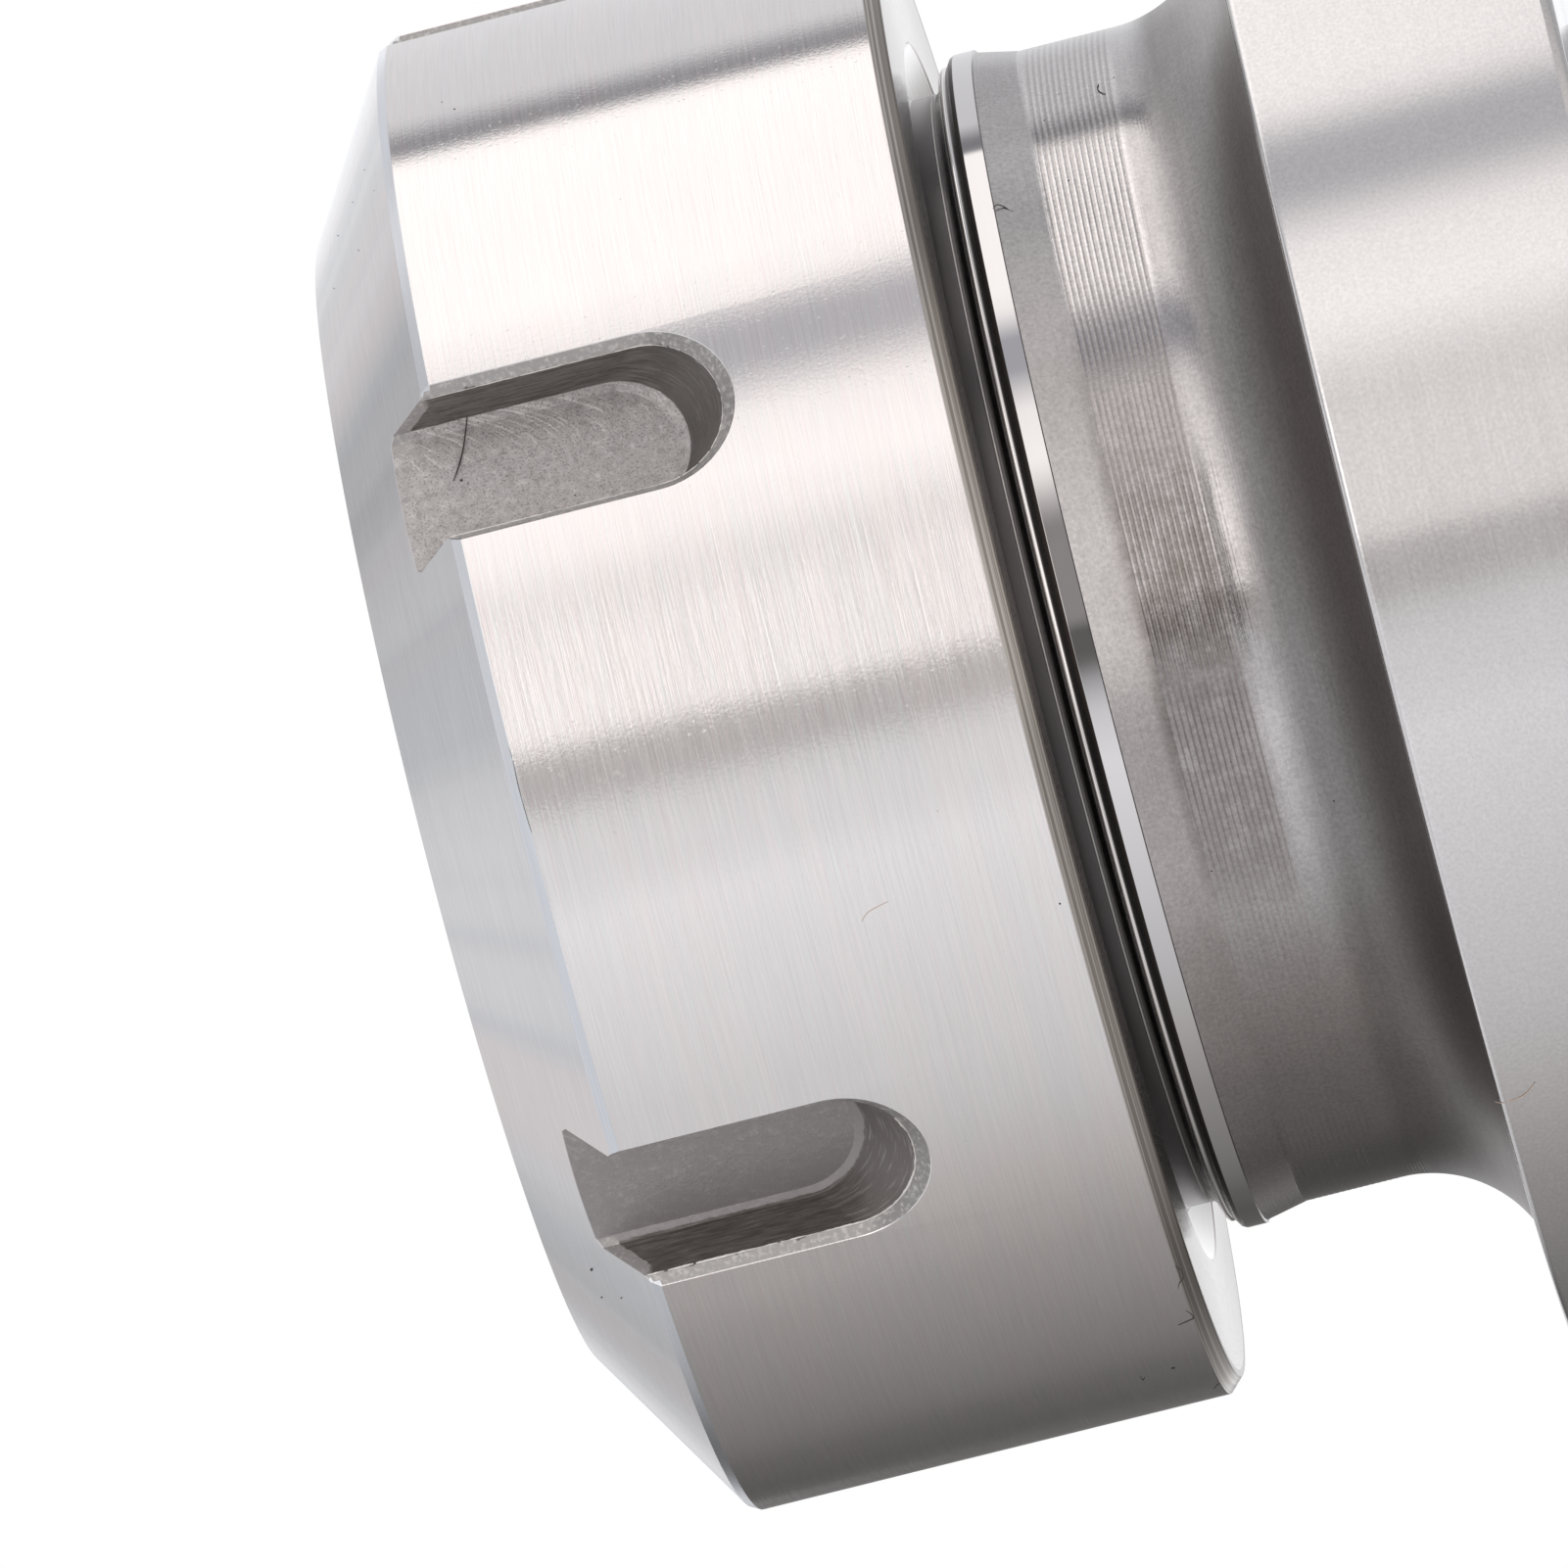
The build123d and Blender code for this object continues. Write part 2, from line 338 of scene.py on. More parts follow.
def metal(n, colour, roughness, normal, anisotropy=0.0, metallic=1.0):
    """Bare metal. With anisotropy the gloss is drawn out across the turning lines."""
    shader = n.add("ShaderNodeBsdfPrincipled")
    for name, value in (
            ("Base Color", colour), ("Metallic", metallic), ("Roughness", roughness), ("Normal", normal)):
        n.put(shader.inputs[name], value)
    if anisotropy:
        quarter_turn = 0.25
        shader.inputs["Anisotropic"].default_value = anisotropy
        shader.inputs["Anisotropic Rotation"].default_value = quarter_turn
        tangent = n.add("ShaderNodeTangent", direction_type="RADIAL", axis="Z")
        n.put(shader.inputs["Tangent"], tangent.outputs[0])
    n.finish(shader.outputs[0])


def turning_lines(n, x, y, along, length, width):
    """Noise drawn out round the axis: streaks of that length and width in millimetres."""
    vector = n.combine(n.times(x, 1 / length), n.times(y, 1 / length), n.times(along, 1 / width))
    return n.noise(vector, 1.0, 2.0, 0.6)


# Share of the radius that shifts the turning lines, so that faces across the axis get rings of them
LINE_SLANT = 0.6
# Slot whose milled floor is plainer than the others' and painted darker as shade, counted round from the far
# side
CALM_SLOT = 9


def turned_steel(name, colour, roughness, anisotropy, line_depth, line_width, tint=0.04, grain=0.0):
    """Turned or ground steel with fine lines round the axis and, where asked, a satin grain."""
    material, n = new_material(name)
    point, x, y, z, radius = place_in_mm(n)
    along = n.minus(z, n.times(radius, LINE_SLANT))
    fine = turning_lines(n, x, y, along, 9.0, line_width)
    broad = turning_lines(n, x, y, along, 30.0, line_width * 9)
    cloud = n.noise(point, 0.12, 3.0, 0.55)
    speck = n.noise(point, 7.0, 1.0, 0.5)
    shade = n.plus(n.times(n.plus(fine, broad), tint), n.times(cloud, tint))
    lift = n.minus(n.plus(shade, 1.0), 1.5 * tint)
    if grain:
        lift = n.plus(lift, n.span(speck, 0.25, 0.75, -0.06, 0.06, False))
    warmer = tuple(c * k for c, k in zip(colour[:3], (1.0, 0.99, 0.98))) + (1,)
    base = n.scaled(n.mix(cloud, colour, warmer), lift)
    rough = n.plus(roughness, n.times(n.minus(fine, 0.5), roughness * 0.35))
    normal = n.bump(fine, line_depth)
    if grain:
        normal = n.bump(speck, grain, normal)
    metal(n, base, rough, normal, anisotropy)
    return material


def nut_steel():
    """The nut's steel: bright turned outside, duller cone, milled slots, browned rear edge."""
    material, n = new_material("nut_steel_turned_and_milled")
    point, x, y, z, radius = place_in_mm(n)

    # Where on the nut this is. Small numbers are the millimetres over which one place fades into the next.
    on_cone = n.span(z, NUT_EDGE - 0.05, NUT_EDGE + 0.12)
    near_edge = n.span(n.math("ABSOLUTE", n.minus(z, NUT_EDGE - 0.06)), 0.24, 0.17)
    past_edge = n.math("MAXIMUM", n.minus(z, NUT_EDGE), 0.0)
    inside = n.minus(n.minus(NUT_R, n.times(past_edge, CONE_SLOPE)), radius)
    outer = n.times(n.math("GREATER_THAN", radius, NUT_WITHIN_R), n.math("GREATER_THAN", z, NUT_BOTTOM + 3))
    step = TURN / SLOT_COUNT
    turned = n.plus(n.math("ARCTAN2", y, x), 2 * TURN - math.radians(SLOT_FIRST) + step / 2)
    index = n.math("FLOOR", n.math("DIVIDE", turned, step))
    folded = n.minus(n.math("MODULO", turned, step), step / 2)
    across = n.times(radius, n.math("SINE", folded))
    out = n.times(radius, n.math("COSINE", folded))
    half = n.math("ABSOLUTE", across)
    deep = n.math("GREATER_THAN", inside, n.mix_value(near_edge, 0.035, 0.2))
    in_slot = n.times(n.times(deep, outer), n.math("LESS_THAN", half, SLOT_HALF + SLOT_FLARE))
    ragged = n.times(n.minus(n.noise(point, 1.3, 3.0, 0.65), 0.5), 0.5)
    on_flare = n.span(n.plus(out, ragged), SLOT_RIM - 0.05, SLOT_RIM)
    on_front = n.times(n.span(z, NUT_EDGE - 0.1, NUT_EDGE + 0.2), n.span(n.plus(inside, ragged), 1.15, 1.05))
    on_front = n.times(on_front, n.math("GREATER_THAN", out, SLOT_FLOOR + 0.05))
    on_rim = n.math("MAXIMUM", on_flare, on_front)
    on_floor = n.span(out, SLOT_FLOOR + 0.03, SLOT_FLOOR + 0.01)
    calm = n.math("COMPARE", index, CALM_SLOT, 0.5)
    corner_top = n.mix_value(calm, SLOT_CORNER, SLOT_CORNER - 0.12)
    in_corner = n.span(n.plus(n.minus(out, corner_top), n.times(ragged, 0.3)), SLOT_FLOOR + 0.06, SLOT_FLOOR)
    at_end = n.span(n.plus(z, n.times(half, 0.3)), SLOT_RIM_CENTRE + 0.9, SLOT_RIM_CENTRE - 0.3)
    rear_edge = n.times(n.span(z, NUT_BOTTOM + 0.66, NUT_BOTTOM + 0.56),
                        n.math("GREATER_THAN", radius, NUT_R - 0.9))
    rear_face = n.span(z, NUT_BOTTOM + 0.10, NUT_BOTTOM + 0.02)
    within = n.times(n.math("LESS_THAN", radius, NUT_WITHIN_R), n.math("GREATER_THAN", inside, 0.3))

    # Lines round the axis
    along = n.minus(z, n.times(radius, LINE_SLANT))
    fine = turning_lines(n, x, y, along, 3.5, 0.10)
    finer = turning_lines(n, x, y, along, 6.0, 0.05)
    tinted = turning_lines(n, x, y, n.plus(along, 40.0), 4.0, 0.14)
    broad = turning_lines(n, x, y, along, 40.0, 1.3)
    cloud = n.noise(point, 0.09, 3.0, 0.55)
    sparkle = n.noise(point, 6.5, 2.0, 0.6)
    lines = n.plus(n.times(fine, 0.6), n.times(finer, 0.4))

    # Cutter's arcs in the slots: the end's arc, repeated along the slot. Near one wall they are
    # painted pale, partly real marks and partly painted highlight.
    reach = n.math("SQRT", n.math("MAXIMUM", n.minus(SLOT_HALF ** 2 + 0.2, n.times(across, across)), 0.0))
    arc = n.times(n.plus(z, reach), 4.5)
    arcs = n.noise(n.combine(arc, n.times(across, 0.5), n.times(index, 7.3)), 1.0, 3.0, 0.7)
    arc_highlight_place = n.span(n.plus(across, n.times(cloud, 1.2)), 1.3, 3.0, 0.06, 1.0)
    arc_marks_and_highlight = n.times(arc_highlight_place, n.mix_value(calm, 1.0, 0.2))
    pits = n.noise(point, 4.5, 3.0, 0.6)
    sand = n.noise(point, 11.0, 1.0, 0.5)
    mottle = n.noise(point, 2.1, 3.0, 0.7)
    streaks = n.noise(n.combine(n.times(out, 9.0), n.times(across, 0.8), n.times(z, 0.9)), 1.0, 2.0, 0.6)

    bright, bright_warm = (0.775, 0.750, 0.748, 1), (0.795, 0.757, 0.750, 1)
    pink, green = (0.81, 0.715, 0.73, 1), (0.735, 0.785, 0.78, 1)
    cone, cone_pale, cone_pink = (0.665, 0.665, 0.685, 1), (0.745, 0.74, 0.75, 1), (0.765, 0.71, 0.70, 1)
    band = (0.74, 0.76, 0.80, 1)
    # The calm slot's floor is a darker copy of the others': painted shade
    floor, floor_calm_shaded, floor_light = (0.61, 0.570, 0.565, 1), (0.41, 0.382, 0.380, 1), (0.94, 0.90, 0.87, 1)
    grain_light, grain_dark = (0.84, 0.81, 0.79, 1), (0.30, 0.28, 0.27, 1)
    wall, wall_dark = (0.215, 0.194, 0.182, 1), (0.13, 0.114, 0.105, 1)
    wall_calm, wall_calm_dark = (0.20, 0.178, 0.166, 1), (0.125, 0.108, 0.099, 1)
    end_wall, end_wall_calm = (0.145, 0.132, 0.125, 1), (0.225, 0.206, 0.198, 1)
    corner_light = (0.42, 0.395, 0.39, 1)
    rim, rim_end = (0.46, 0.44, 0.43, 1), (0.34, 0.325, 0.32, 1)
    brown, brown_light = (0.36, 0.325, 0.295, 1), (0.66, 0.625, 0.585, 1)
    rear, inner = (0.20, 0.175, 0.155, 1), (0.62, 0.61, 0.60, 1)

    # Outside and cone
    body = n.mix(n.span(broad, 0.35, 0.68), bright, bright_warm)
    body = n.mix(n.span(tinted, 0.45, 0.25, 0.0, 0.5), body, pink)
    body = n.mix(n.span(tinted, 0.55, 0.75, 0.0, 0.4), body, green)
    bearing = n.vector("NORMALIZE", n.combine(x, y, 0.0))
    cone_colour = n.mix(n.span(n.noise(bearing, 6.0), 0.42, 0.60), cone, cone_pale)
    blush = n.span(n.noise(n.vector("ADD", bearing, (4.0, 1.0, 0.0)), 4.0), 0.44, 0.60, 0.0, 0.8)
    body = n.mix(on_cone, body, n.mix(blush, cone_colour, cone_pink))
    body = n.mix(near_edge, body, band)
    shaded = n.scaled(body, n.plus(n.span(lines, 0.3, 0.7, 0.945, 1.025), n.times(cloud, 0.04)))
    edge_lines = turning_lines(n, x, y, n.plus(z, radius), 60.0, 0.16)
    edge = n.mix(n.span(edge_lines, 0.45, 0.62), brown, brown_light)

    # Slots: floor, walls, corner and rim
    # Pale arcs on the floor near one wall: painted highlight on the cutter's marks
    arc_highlight = n.times(n.span(arcs, 0.50, 0.64), arc_marks_and_highlight)
    floor_colour = n.mix(arc_highlight, n.mix(calm, floor, floor_calm_shaded), floor_light)
    grain = n.mix_value(calm, 0.85, 0.2)
    for marks, low, high, amount, tone in (
            (pits, 0.55, 0.8, 1.0, grain_light), (sand, 0.5, 0.25, 1.0, grain_dark),
            (mottle, 0.52, 0.70, 0.6, grain_light), (mottle, 0.48, 0.34, 0.5, grain_dark)):
        floor_colour = n.mix(n.times(n.span(marks, low, high, 0.0, amount), grain), floor_colour, tone)
    wall_colour = n.mix(n.span(streaks, 0.56, 0.36, 0.0, 0.9), n.mix(calm, wall, wall_calm),
                        n.mix(calm, wall_dark, wall_calm_dark))
    wall_colour = n.mix(n.times(at_end, 0.85), wall_colour, n.mix(calm, end_wall, end_wall_calm))
    score = n.mix_value(calm, 0.10, n.mix_value(at_end, 0.16, 0.3))
    wall_colour = n.mix(n.times(n.span(streaks, 0.54, 0.75), score), wall_colour, grain_light)
    rim_colour = n.mix(n.span(pits, 0.45, 0.75, 0.0, 0.5), n.mix(at_end, rim, rim_end), floor_light)
    slot_colour = n.mix(in_corner, wall_colour, n.mix(calm, floor_colour, corner_light))
    slot_colour = n.mix(on_floor, slot_colour, floor_colour)
    slot_colour = n.mix(on_rim, slot_colour, rim_colour)

    colour = shaded
    for place, tone in ((rear_edge, edge), (rear_face, rear), (in_slot, slot_colour), (within, inner)):
        colour = n.mix(place, colour, tone)
    rough = n.plus(0.155, n.times(n.minus(fine, 0.5), 0.06))
    slot_rough = n.mix_value(on_rim, n.span(pits, 0.3, 0.8, 0.60, 0.42), 0.42)
    for place, value in ((on_cone, 0.24), (near_edge, 0.32), (rear_edge, 0.30), (in_slot, slot_rough)):
        rough = n.mix_value(place, rough, value)

    dents = n.span(n.noise(point, 5.0, 1.0, 0.5), 0.80, 0.68)
    outside = n.bump(dents, 0.002, n.bump(sparkle, 0.003, n.bump(lines, 0.006)))
    milled = n.bump(n.plus(n.times(n.times(arcs, arc_marks_and_highlight), 0.6),
                           n.times(n.plus(n.plus(pits, sand), mottle), 0.3)), 0.05)
    metal(n, colour, rough, n.blend("VECTOR", in_slot, outside, milled), 0.9, n.mix_value(in_slot, 1.0, 0.35))
    return material


def neck_steel():
    """The neck's steel: grey taper, pale turned grooves with oil and painted shade browning their valleys, a
    satin fillet in painted shade, and painted shade and light on its sides.
    """
    material, n = new_material("neck_turned")
    point, x, y, z, _ = place_in_mm(n)
    fine = turning_lines(n, x, y, z, 4.0, 0.06)
    grain = n.noise(point, 6.0, 2.0, 0.65)
    cloud = n.noise(point, 0.25, 3.0, 0.6)
    blotch = n.noise(point, 1.1, 3.0, 0.65)
    height = LAND_BOTTOM - COLLAR_TOP
    # Tone by height, darkest in the fillet: painted shade in the hollow between collar and nut
    tones = n.ramp(n.math("DIVIDE", n.minus(z, COLLAR_TOP), height), [
        ((at - COLLAR_TOP) / height, (tone, tone * 0.955, tone * 0.957))
        for at, tone in ((82.9, 0.55), (83.5, 0.55), (84.2, 0.46), (84.9, 0.38), (85.4, 0.34), (86.5, 0.31),
                         (87.2, 0.37), (87.7, 0.47), (88.3, 0.50), (88.42, 0.50), (92.2, 0.50), (92.27, 0.52),
                         (93.9, 0.55))])
    pale, oil_and_shade_brown, stain_and_shade_brown = (0.67, 0.645, 0.645, 1), (0.13, 0.108, 0.095, 1), (0.20, 0.175, 0.16, 1)
    bearing = n.vector("NORMALIZE", n.combine(x, y, 0.0))

    def on_side(side, low, high, amount=1.0):
        """The amount on one side of the neck, fading round the axis between two cosines."""
        return n.span(n.vector("DOT_PRODUCT", bearing, tuple(bearing_of(side))), low, high, 0.0, amount)

    # Valleys between the ridges are darkened, partly by old oil and partly by painted shade, less so on the
    # side turned to the floor
    pitch = (RIDGES_TOP - RIDGES_BOTTOM) / RIDGE_COUNT
    beat = n.math("FRACT", n.math("DIVIDE", n.minus(z, RIDGES_BOTTOM), pitch))
    valley = n.span(n.math("ABSOLUTE", n.minus(beat, 0.5)), 0.36, 0.12)
    ridged = n.times(n.span(z, RIDGES_BOTTOM - 0.02, RIDGES_BOTTOM + 0.05),
                     n.span(z, RIDGES_TOP + 0.02, RIDGES_TOP - 0.05))
    valley_oil_and_shade = n.times(n.times(valley, ridged), n.mix_value(on_side(LIGHTER_VALLEY_SIDE, 0.62, 0.88), 0.40, 0.10))
    # The ridges on one side are darkened in mottled patches: painted shade
    ridge_shade = on_side(SHADED_RIDGE_SIDE, 0.80, 0.995)
    for amount in (n.span(z, RIDGES_BOTTOM - 0.4, RIDGES_BOTTOM + 0.5),
                   n.span(z, NECK_TOP + 0.3, NECK_TOP - 0.5), n.span(blotch, 0.25, 0.6, 0.38, 0.60)):
        ridge_shade = n.times(ridge_shade, amount)
    # The valleys' oil and painted shade, the ridges' painted shade, and painted shade all over one side
    oil_and_shade_amount = n.math("MAXIMUM", n.math("MAXIMUM", valley_oil_and_shade, ridge_shade), on_side(SHADED_SIDE, 0.84, 0.97, 0.45))
    # One side of the neck from the lowest ridge up is made pale: painted light
    painted_light = n.times(on_side(LIT_SIDE, 0.90, 0.98), n.span(z, RIDGES_BOTTOM - 0.3, RIDGES_BOTTOM))
    # Brown mottled patch, part stain and part painted shade
    stain_and_shade_place = n.span(n.vector("LENGTH", n.vector("SUBTRACT", point, STAIN_AND_SHADE_CENTRE)), 4.4, 0.4)
    stain_and_shade = n.times(stain_and_shade_place, n.span(blotch, 0.35, 0.70, 0.10, 0.55))
    for place, tone in ((painted_light, pale), (oil_and_shade_amount, oil_and_shade_brown), (stain_and_shade, stain_and_shade_brown)):
        tones = n.mix(place, tones, tone)

    shade = n.plus(n.span(grain, 0.25, 0.75, 0.84, 1.16, False),
                   n.times(n.minus(n.plus(fine, cloud), 1.0), 0.25))
    rough = n.span(z, 86.5, 87.6, 0.40, 0.13)
    rough = n.mix_value(n.span(z, NECK_TOP - 0.05, NECK_TOP + 0.05), rough, 0.24)
    metal(n, n.scaled(tones, shade), rough, n.bump(grain, 0.0035, n.bump(fine, 0.003)))
    return material


def dull(name, colour, roughness):
    """Dust, dirt and fibres."""
    material, n = new_material(name)
    point = place_in_mm(n)[0]
    uneven = n.noise(point, 9.0, 2.0, 0.5)
    light = tuple(c * 1.8 for c in colour[:3]) + (1,)
    shader = n.add("ShaderNodeBsdfPrincipled")
    n.put(shader.inputs["Base Color"], n.mix(uneven, colour, light))
    shader.inputs["Roughness"].default_value = roughness
    n.finish(shader.outputs[0])
    return material


def plain_steel(name, colour, roughness):
    """Dull bare metal with a fine uneven grain."""
    material, n = new_material(name)
    point = place_in_mm(n)[0]
    grain = n.noise(point, 3.0, 3.0, 0.6)
    cloud = n.noise(point, 0.2, 2.0, 0.5)
    dark = tuple(c * 0.86 for c in colour[:3]) + (1,)
    metal(n, n.mix(n.times(n.plus(grain, cloud), 0.5), dark, colour),
          n.span(grain, 0.2, 0.8, roughness * 0.85, roughness * 1.15), n.bump(grain, 0.01))
    return material


# Colour, roughness and, of turned steel, anisotropy, the lines' depth and width, their tint and the grain
SHANK = turned_steel("shank_ground", (0.70, 0.695, 0.70, 1), 0.24, 0.7, 0.002, 0.05)
COLLAR = turned_steel("collar_satin", (0.71, 0.695, 0.70, 1), 0.17, 0.8, 0.0012, 0.08, 0.03, 0.0012)
NECK = neck_steel()
LAND = turned_steel("land_polished", (0.66, 0.645, 0.65, 1), 0.05, 0.0, 0.0003, 0.04, 0.02)
# The relief groove in the gap under the nut is coloured near black: painted shade
RELIEF_SHADED = turned_steel("relief_painted_shade", (0.13, 0.122, 0.125, 1), 0.24, 0.5, 0.002, 0.06)
BEAD = turned_steel("bead_polished", (0.86, 0.84, 0.84, 1), 0.08, 0.0, 0.0005, 0.04, 0.03)
THREAD = turned_steel("thread_steel", (0.58, 0.57, 0.56, 1), 0.30, 0.4, 0.004, 0.05)
BORE = turned_steel("bore_steel", (0.55, 0.54, 0.53, 1), 0.34, 0.5, 0.006, 0.08)
NUT = nut_steel()
COLLET = turned_steel("collet_ground", (0.66, 0.655, 0.655, 1), 0.22, 0.6, 0.002, 0.05)
STOP = plain_steel("stop_blackened", (0.12, 0.12, 0.125, 1), 0.42)
BURR = plain_steel("burr_bright", (0.86, 0.83, 0.80, 1), 0.32)
GRIME = dull("grime", (0.035, 0.028, 0.025, 1), 0.7)
FIBRE = dull("fibre", (0.42, 0.33, 0.27, 1), 0.7)


def scallops(bottom, top, count, depth):
    """Heights and radius offsets of a row of turning marks, low in their middles."""
    points = []
    pitch = (top - bottom) / count
    for k in range(count):
        for part in (0.0, 0.12, 0.3, 0.5, 0.7, 0.88):
            points.append((bottom + (k + part) * pitch, depth * (2 * part - 1) ** 2))
    return points


def rounding(radius, height, size, start):
    """Points of a quarter round about the given centre, from an angle in degrees."""
    steps = 6
    turns = [math.radians(start + 90 * k / steps) for k in range(steps + 1)]
    return [(radius + size * math.cos(a), height + size * math.sin(a)) for a in turns]


def chuck_body():
    shank, collar, neck, land, relief, thread, bore, bead, burr = range(9)
    outline = [
        (BORE_R + BORE_CHAMFER, 0.0, shank),
        (SHANK_R - SHANK_CHAMFER, 0.0, shank),
        (SHANK_R - SHANK_CHAMFER * 0.1, SHANK_CHAMFER * 0.9, shank),
        (SHANK_R, SHANK_CHAMFER + 0.1, shank),
        (SHANK_R, SHANK_LENGTH, collar),
    ]
    # Points beside each rounding keep the flat stretch between them flat to the eye
    beside = 0.03
    outline += [(r, z, collar) for r, z in rounding(
        COLLAR_R - COLLAR_REAR, SHANK_LENGTH + COLLAR_REAR, COLLAR_REAR, -90)]
    outline.append((COLLAR_R, SHANK_LENGTH + COLLAR_REAR + beside, collar))
    outline.append((COLLAR_R, COLLAR_TOP - COLLAR_FRONT - beside, collar))
    outline += [(r, z, collar) for r, z in rounding(
        COLLAR_R - COLLAR_FRONT, COLLAR_TOP - COLLAR_FRONT, COLLAR_FRONT, 0)]
    centre_r, centre_z = NECK_R + FILLET_R, COLLAR_TOP + FILLET_R
    arc_steps = 28
    heights = [centre_z + FILLET_R * math.sin(math.radians(270 - 90 * k / arc_steps))
               for k in range(arc_steps)]
    fine_steps = 4 * round((FINE_TOP - FINE_BOTTOM) / FINE_PITCH)
    heights = [h for h in heights if h < FINE_BOTTOM - 0.05 or h > FINE_TOP + 0.05]
    heights += [FINE_BOTTOM + (FINE_TOP - FINE_BOTTOM) * k / fine_steps for k in range(fine_steps + 1)]
    for height in sorted(heights):
        rise = 0.0
        if FINE_BOTTOM < height < FINE_TOP:
            fade = (height - FINE_BOTTOM) / (FINE_TOP - FINE_BOTTOM)
            rise = FINE_DEPTH * fade * math.cos(TURN * (FINE_TOP - height) / FINE_PITCH)
        sunk = math.sqrt(FILLET_R ** 2 - (centre_z - height) ** 2)
        outline.append((centre_r - sunk - rise, height, neck))
    outline.append((NECK_R, RIDGES_BOTTOM - 0.12, neck))
    for height, rise in scallops(RIDGES_BOTTOM, RIDGES_TOP, RIDGE_COUNT, RIDGE_DEPTH):
        outline.append((NECK_R + rise, height, neck))
    outline += [
        (NECK_R + RIDGE_DEPTH, RIDGES_TOP, neck),
        (NECK_R, NECK_TOP - 0.03, neck),
        (NECK_R + 0.01, NECK_TOP, neck),
        (NECK_R + 0.018, NECK_TOP + 0.04, neck),
        (LAND_R - LAND_STEP - 0.009, LAND_BOTTOM - 0.06, neck),
        (LAND_R - LAND_STEP, LAND_BOTTOM - 0.02, relief),
        (LAND_R, LAND_BOTTOM + 0.02, land),
        (LAND_R, LAND_BOTTOM + 0.04, land),
    ]
    break_width, break_depth = 0.16, 0.09
    foot_r, foot_z = RELIEF_R + 0.1, RELIEF_BOTTOM - 0.0625
    edge_r, edge_z = LAND_R - break_depth, LAND_TOP + 0.02
    run_r, run_z = foot_r - edge_r, foot_z - edge_z
    bead_r = edge_r + run_r * (BEAD_HEIGHT - edge_z) / run_z
    cone_angle = math.atan2(-run_r, run_z)
    outline += [
        (LAND_R, LAND_TOP - break_width - beside, land),
        (LAND_R, LAND_TOP - break_width, relief),
        (edge_r, edge_z, relief),
    ]
    bead_steps = 10
    for k in range(bead_steps + 1):
        angle = cone_angle - math.pi / 2 + math.pi * k / bead_steps
        outline.append((bead_r + BEAD_SIZE * math.cos(angle), BEAD_HEIGHT + BEAD_SIZE * math.sin(angle),
                        bead if k < bead_steps else relief))
    outline += [
        (foot_r, foot_z, relief),
        (RELIEF_R, RELIEF_BOTTOM + 0.04, relief),
        (RELIEF_R, RING_HEIGHT - RING_WIDTH, burr),
        (RELIEF_R + 0.03, RING_HEIGHT - RING_WIDTH * 0.4, burr),
        (RELIEF_R + 0.03, RING_HEIGHT + RING_WIDTH * 0.4, burr),
        (RELIEF_R, RING_HEIGHT + RING_WIDTH, relief),
        (RELIEF_R, RELIEF_TOP, relief),
        (CORE_R, CORE_BOTTOM, thread),
        (CORE_R, NOSE_TOP - NOSE_CHAMFER, thread),
        (CORE_R - NOSE_CHAMFER, NOSE_TOP, thread),
        (SEAT_TOP_R + 0.15, NOSE_TOP, bore),
        (SEAT_TOP_R, NOSE_TOP - 0.15, bore),
        (SEAT_BOTTOM_R, SEAT_BOTTOM, bore),
        (TOOL_ROOM_R, SEAT_BOTTOM, bore),
        (TOOL_ROOM_R, STOP_ROOM_TOP, bore),
        (STOP_ROOT_R, STOP_ROOM_TOP, thread),
        (STOP_ROOT_R, STOP_ROOM_BOTTOM, bore),
        (BORE_R, STOP_ROOM_BOTTOM, bore),
        (BORE_R, BORE_CHAMFER, bore),
    ]
    nose = thread_ridge(CORE_R, NOSE_CREST, NOSE_WIDTHS, NOSE_ENDS, NOSE_PHASE)
    stop_room = thread_ridge(
        STOP_ROOT_R, STOP_ROOM_CREST, STOP_ROOM_WIDTHS, STOP_ROOM_ENDS, STOP_ROOM_PHASE, PLAIN_RIDGE)
    vertices, faces, marks = joined(
        lathe(outline, BODY_SEGMENTS), marked(nose, thread), marked(stop_room, thread))
    piece = mesh_object(
        "chuck_body_finished", vertices, faces,
        [SHANK, COLLAR, NECK, LAND, RELIEF_SHADED, THREAD, BORE, BEAD, BURR], marks, 30.0)
    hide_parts("chuck_body")
    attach(piece, "chuck")


def nut_thread():
    phase = half_pitch_from(NOSE_ENDS[0], NOSE_PHASE, NUT_ENDS[0])
    vertices, faces = thread_ridge(NUT_ROOT_R, NUT_CREST, NUT_WIDTHS, NUT_ENDS, phase)
    piece = mesh_object("nut_thread", vertices, faces, [THREAD], None, 30.0)
    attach(piece, "nut")


def stop_thread():
    phase = half_pitch_from(STOP_ROOM_ENDS[0], STOP_ROOM_PHASE, STOP_ENDS[0])
    vertices, faces = thread_ridge(STOP_CORE_R, STOP_CREST, STOP_WIDTHS, STOP_ENDS, phase, PLAIN_RIDGE)
    piece = mesh_object("stop_screw_thread", vertices, faces, [STOP], None, 30.0)
    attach(piece, "stop")


def slot_point(index, out, across, height):
    """Point from a slot's own directions: out from the axis, across the slot, and height."""
    angle = math.radians(SLOT_FIRST + index * 360 / SLOT_COUNT)
    c, s = math.cos(angle), math.sin(angle)
    return (out * c - across * s, out * s + across * c, height)


